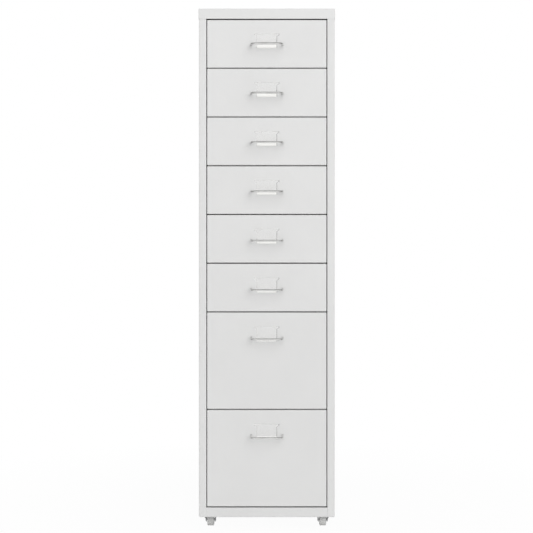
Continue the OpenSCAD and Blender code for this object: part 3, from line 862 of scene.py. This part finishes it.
class CABINET_OT_label_holders(bpy.types.Operator):
    """Builds the clear label holders: a flared back that slopes out to a trough with a lip."""

    bl_idname = "cabinet.label_holders"
    bl_label = "Label Holders"

    def execute(self, context):
        holder = context.scene.cabinet_holder
        sheet = context.scene.cabinet_sheet
        finish = build_materials()["clear plastic"]
        t = holder.thickness
        bend = HOLDER_FOLD + t / 2
        before, behind = -HOLDER_GAP - t / 2, sheet.thickness + HOLDER_GAP + t / 2
        top, low, lip = holder.rise - t / 2, t / 2 - holder.fall, t / 2 - holder.stand
        shoulder = (holder.rise + holder.flare_end) / 2
        corners = [
            [before, holder.rise], [before, holder.flare_end], [lip + holder.trough + t, low],
            [lip, low], [lip, low + holder.lip],
        ]
        line = bent_path(corners, bend)
        foot, knee = np.array(corners[2]), np.array(corners[1])
        slope = (knee - foot) / np.linalg.norm(knee - foot)
        cut = int(np.argmax(line[:, 1] < low + TROUGH_FAR))
        line = np.concatenate([
            [[before, holder.rise - d] for d in (0, HOLDER_MARGIN)],
            [[before, shoulder], [before, holder.flare_end + FLARE_POINT]],
            line[1:cut],
            foot + slope * [[TROUGH_FAR], [TROUGH_NEAR]],
            line[cut:-1],
            [[lip, low + holder.lip - d] for d in (HOLDER_MARGIN, 0)],
        ])
        half = np.interp(
            line[:, 1], [holder.flare_end + FLARE_START, shoulder],
            [holder.width / 2, holder.top_width / 2],
        )
        rings, at_side = strip_rings(line, half, t, HOLDER_MARGIN)
        at_top = np.zeros(len(line))
        at_top[0] = 1
        in_trough = np.interp(line[:, 1], [low + height for height in TROUGH_FADE], [1, 0])
        in_trough[line[:, 0] < lip + LIP_NEAR] = 1
        prong_line = bent_path([[before, top], [behind, top], [behind, top + PRONG_RISE]], bend)
        prong_half = np.full(len(prong_line), holder.prong / 2)
        prong, _ = strip_rings(prong_line, prong_half, t, HOLDER_MARGIN)
        prongs = [tube(prong + np.array([s * holder.prong_centres / 2, 0, 0])) for s in (-1, 1)]
        points, faces = joined(tube(rings), *prongs)
        plain = np.zeros(2 * prong[..., 0].size)
        # Strength of the painted shade on the cut edges: the right edge darkest, the left faint,
        # the top between
        at_side = np.where(at_side > 0, RIGHT_EDGE_SHADE, np.where(at_side < 0, LEFT_EDGE_SHADE, 0.0))
        edge_shade_at_points = np.maximum(at_top[:, None] * TOP_EDGE_SHADE, at_side[None])
        edge = np.concatenate([edge_shade_at_points.ravel(), plain])
        trough = np.concatenate([np.repeat(in_trough, len(at_side)), plain + 1])
        for i in DRAWERS:
            y_face = span(f"drawer_front_{i}")[0][1]
            placed = points + np.array([0, y_face, pull_height(i)])
            mesh = closed_mesh(f"label_holder_{i}", placed, faces)
            # The edge mask sets where the material paints shade on the cut edges, the trough mask
            # where it paints its glow
            store(mesh, "edge", edge)
            store(mesh, "trough", trough)
            link(f"label_holder_{i}", mesh, finish, f"drawer_{i}",
                 [f"drawer_label_holder_{i}"])
        return {"FINISHED"}


# A caster wheel's side from its bore, over the hub and the sunk ring to the rim, as radius and
# depth under the side's face
WHEEL_SIDE = np.array([
    (2.05, 0.3), (2.35, 0.0), (4.3, 0.0), (4.7, 0.4), (4.9, 1.9),
    (5.2, 2.1), (8.9, 2.1), (9.2, 1.9), (9.4, 0.4), (9.8, 0.0),
]) * MM
WHEEL_SHOULDER = 1.6 * MM
SEAM_HALF, SEAM_DEPTH = 0.25 * MM, 0.12 * MM


def wheel_profile(radius, half, steps=6):
    """Closed section of a wheel as (radius, height along the axle): over the hub and rim of one
    side, a quarter circle round the shoulder, a small V at the mould seam in the middle of the
    tread, and the same mirrored back to the bore."""
    angle = np.linspace(0, math.pi / 2, steps + 1)
    shoulder = np.stack([
        radius - WHEEL_SHOULDER + WHEEL_SHOULDER * np.sin(angle),
        half - WHEEL_SHOULDER + WHEEL_SHOULDER * np.cos(angle),
    ], -1)
    side = np.concatenate([WHEEL_SIDE * [1, -1] + [0, half], shoulder])
    seam = np.array([[radius, SEAM_HALF], [radius - SEAM_DEPTH, 0.0], [radius, -SEAM_HALF]])
    return np.concatenate([side, seam, side[::-1] * [1, -1]])


class CABINET_OT_casters(bpy.types.Operator):
    """Builds the caster wheels as turned solids with a raised hub, a sunk ring and a mould seam."""

    bl_idname = "cabinet.casters"
    bl_label = "Casters"

    def execute(self, context):
        finish = build_materials()["grey wheel plastic"]
        for name in CORNERS:
            low, high = span(f"caster_wheel_{name}")
            size = high - low
            rings = turned(wheel_profile(size[2] / 2, size[0] / 2))
            n, m = rings.shape[:2]
            points = rings[..., [2, 0, 1]].reshape(-1, 3) + (low + high) / 2
            faces = np.array(grid_faces(n + 1, m)) % (n * m)
            mesh = closed_mesh(f"wheel_{name}", points, faces)
            link(f"wheel_{name}", mesh, finish, f"caster_wheel_{name}",
                 [f"caster_wheel_{name}"])
        return {"FINISHED"}


# ---- Studio ----

WHITE = (1, 1, 1, 1)
# The world by its heading: where the ceiling turns grey and how much, where the far left and right
# do, their grey, and its strength as a light
CEILING_RANGE, CEILING_SHARE = (0.35, 0.75), 0.75
SIDES_RANGE = (0.86, 0.95)
WORLD_GREY = (0.12, 0.12, 0.12, 1)
WORLD_LIGHT = 0.85
# The floor: half its width, its colour, how white it is seen near the cabinet and the distances
# over which it turns wholly white, and where and how much its reflection darkens to either side
FLOOR_HALF = 6.0
FLOOR_COLOUR, FLOOR_ROUGHNESS = (0.86, 0.86, 0.86, 1), 0.9
FLOOR_WHITE, FLOOR_WHITE_RANGE = 0.96, (0.3, 1.0)
FLOOR_DIM, FLOOR_DIM_RANGE = 0.8, (0.5, 1.1)
# Place, target, size and power of each lamp
KEY_LAMP = ((2.3, -7.5, 4.8), (0, 0, 0.55), (8.0, 8.0), 354)
REAR_LAMP = ((-1.6, 4.2, 2.0), (0, 0, 0.5), (2.2, 2.2), 30)
CAMERA_X = -0.6 * MM
SENSOR_WIDTH = 36.0


def area_light(name, place, towards, size, power, mirrored=True):
    """Rectangular lamp that faces a point, and shows in reflections if mirrored."""
    data = bpy.data.lights.new(name, "AREA")
    data.shape = "RECTANGLE"
    data.size, data.size_y = size
    data.energy = power
    lamp = bpy.data.objects.new(name, data)
    lamp.location = place
    lamp.rotation_euler = (Vector(towards) - Vector(place)).to_track_quat("-Z", "Y").to_euler()
    lamp.visible_glossy = mirrored
    bpy.context.scene.collection.objects.link(lamp)


def seen_directly(tree, path):
    """1 for the camera's rays and what a mirror or glass shows, 0 for rays that carry light."""
    seen = path.outputs["Is Camera Ray"]
    for kind in ("Is Glossy Ray", "Is Transmission Ray"):
        seen = maths(tree, "MAXIMUM", seen, path.outputs[kind])
    return seen


def studio_world():
    """Soft light from everywhere, less of it from the ceiling and from the far left and right. The
    camera sees plain white, and metal and glass show that white between the greyer parts."""
    world = bpy.data.worlds.new("studio")
    bpy.context.scene.world = world
    world.use_nodes = True
    tree = world.node_tree
    background = tree.nodes["Background"]
    path = tree.nodes.new("ShaderNodeLightPath")
    heading = tree.nodes.new("ShaderNodeTexCoord")
    split = tree.nodes.new("ShaderNodeSeparateXYZ")
    tree.links.new(heading.outputs["Generated"], split.inputs[0])
    ceiling = ramp_between(tree, split.outputs["Z"], *CEILING_RANGE, 0.0, CEILING_SHARE)
    aside = maths(tree, "ABSOLUTE", split.outputs["X"])
    sides = ramp_between(tree, aside, *SIDES_RANGE, 0.0, 1.0)
    grey = maths(tree, "MAXIMUM", ceiling, sides)
    hidden = maths(tree, "SUBTRACT", grey, path.outputs["Is Camera Ray"], clamp=True)
    tree.links.new(blend(tree, hidden, WHITE, WORLD_GREY), background.inputs["Color"])
    strength = ramp_between(tree, seen_directly(tree, path), 0.0, 1.0, WORLD_LIGHT, 1.0)
    tree.links.new(strength, background.inputs["Strength"])


def studio_floor():
    """Large pale floor. Seen by the camera or in a reflection it is mostly plain white, wholly so
    from a metre out, with the cabinet's soft shadow showing through near it. A reflection shows it
    darker to the far left and right. From below it is clear, so that the cabinet's underside can
    be seen."""
    mesh = bpy.data.meshes.new("floor")
    corners = [(u * FLOOR_HALF, v * FLOOR_HALF, 0) for u, v in ((-1, -1), (1, -1), (1, 1), (-1, 1))]
    mesh.from_pydata(corners, [], [(0, 1, 2, 3)])
    floor = bpy.data.objects.new("floor", mesh)
    bpy.context.scene.collection.objects.link(floor)
    material, tree, shader = new_material("floor")
    shader.inputs["Base Color"].default_value = FLOOR_COLOUR
    shader.inputs["Roughness"].default_value = FLOOR_ROUGHNESS
    path = tree.nodes.new("ShaderNodeLightPath")
    place = tree.nodes.new("ShaderNodeTexCoord")
    split = tree.nodes.new("ShaderNodeSeparateXYZ")
    tree.links.new(place.outputs["Object"], split.inputs[0])
    aside = maths(tree, "ABSOLUTE", split.outputs["X"])
    dimming = ramp_between(tree, aside, *FLOOR_DIM_RANGE, 0.0, FLOOR_DIM)
    dimmed = maths(tree, "MULTIPLY", dimming, path.outputs["Is Glossy Ray"])
    white = tree.nodes.new("ShaderNodeEmission")
    tree.links.new(ramp_between(tree, dimmed, 0.0, 1.0, 1.0, 0.0), white.inputs["Strength"])
    away = add_node(tree, "ShaderNodeVectorMath", operation="LENGTH")
    tree.links.new(place.outputs["Object"], away.inputs[0])
    near = ramp_between(tree, away.outputs["Value"], *FLOOR_WHITE_RANGE, FLOOR_WHITE, 1.0)
    share = maths(tree, "MULTIPLY", seen_directly(tree, path), near)
    mix = tree.nodes.new("ShaderNodeMixShader")
    tree.links.new(share, mix.inputs[0])
    tree.links.new(shader.outputs[0], mix.inputs[1])
    tree.links.new(white.outputs[0], mix.inputs[2])
    below = tree.nodes.new("ShaderNodeMixShader")
    tree.links.new(tree.nodes.new("ShaderNodeNewGeometry").outputs["Backfacing"], below.inputs[0])
    tree.links.new(mix.outputs[0], below.inputs[1])
    tree.links.new(tree.nodes.new("ShaderNodeBsdfTransparent").outputs[0], below.inputs[2])
    tree.links.new(below.outputs[0], tree.nodes["Material Output"].inputs["Surface"])
    mesh.materials.append(material)


class CABINET_OT_studio(bpy.types.Operator):
    """Sets up the camera, floor, lamps and background."""

    bl_idname = "cabinet.studio"
    bl_label = "Studio"

    def execute(self, context):
        studio = context.scene.cabinet_studio
        front = span("drawer_front_1")[0][1]
        camera = bpy.data.cameras.new("camera")
        camera.sensor_width = SENSOR_WIDTH
        camera.lens = SENSOR_WIDTH * studio.scale * studio.distance / studio.frame_px
        eye = bpy.data.objects.new("camera", camera)
        eye.location = (CAMERA_X, front - studio.distance, studio.eye_height)
        eye.rotation_euler = (math.pi / 2, 0, 0)
        context.scene.collection.objects.link(eye)
        context.scene.camera = eye
        studio_world()
        studio_floor()
        area_light("key", *KEY_LAMP, mirrored=False)
        area_light("rear", *REAR_LAMP)
        context.scene.view_settings.view_transform = "Standard"
        return {"FINISHED"}


# ---- Add-on ----


class CABINET_PT_panel(bpy.types.Panel):
    """Lists the cabinet's operators."""

    bl_idname = "CABINET_PT_panel"
    bl_label = "Drawer Cabinet"
    bl_space_type = "VIEW_3D"
    bl_region_type = "UI"
    bl_category = "Cabinet"

    def draw(self, context):
        for operator in OPERATORS:
            self.layout.operator(operator.bl_idname)


OPERATORS = (
    CABINET_OT_studio,
    CABINET_OT_finish_parts,
    CABINET_OT_eased_parts,
    CABINET_OT_sheet_metal,
    CABINET_OT_drawer_fronts,
    CABINET_OT_pulls,
    CABINET_OT_label_holders,
    CABINET_OT_casters,
)
GROUPS = {
    "cabinet_sheet": CabinetSheet,
    "cabinet_pull": CabinetPull,
    "cabinet_holder": CabinetLabelHolder,
    "cabinet_studio": CabinetStudio,
}


def register():
    """Registers the classes and hangs the settings on the scene."""
    for cls in (*GROUPS.values(), *OPERATORS, CABINET_PT_panel):
        bpy.utils.register_class(cls)
    for name, cls in GROUPS.items():
        setattr(bpy.types.Scene, name, PointerProperty(type=cls))


def unregister():
    """Takes the settings and classes away again."""
    for name in GROUPS:
        delattr(bpy.types.Scene, name)
    for cls in (CABINET_PT_panel, *reversed(OPERATORS), *reversed(list(GROUPS.values()))):
        bpy.utils.unregister_class(cls)


def main():
    """Builds everything."""
    register()
    for operator in OPERATORS:
        group, name = operator.bl_idname.split(".")
        getattr(getattr(bpy.ops, group), name)()


if __name__ == "__main__":
    main()
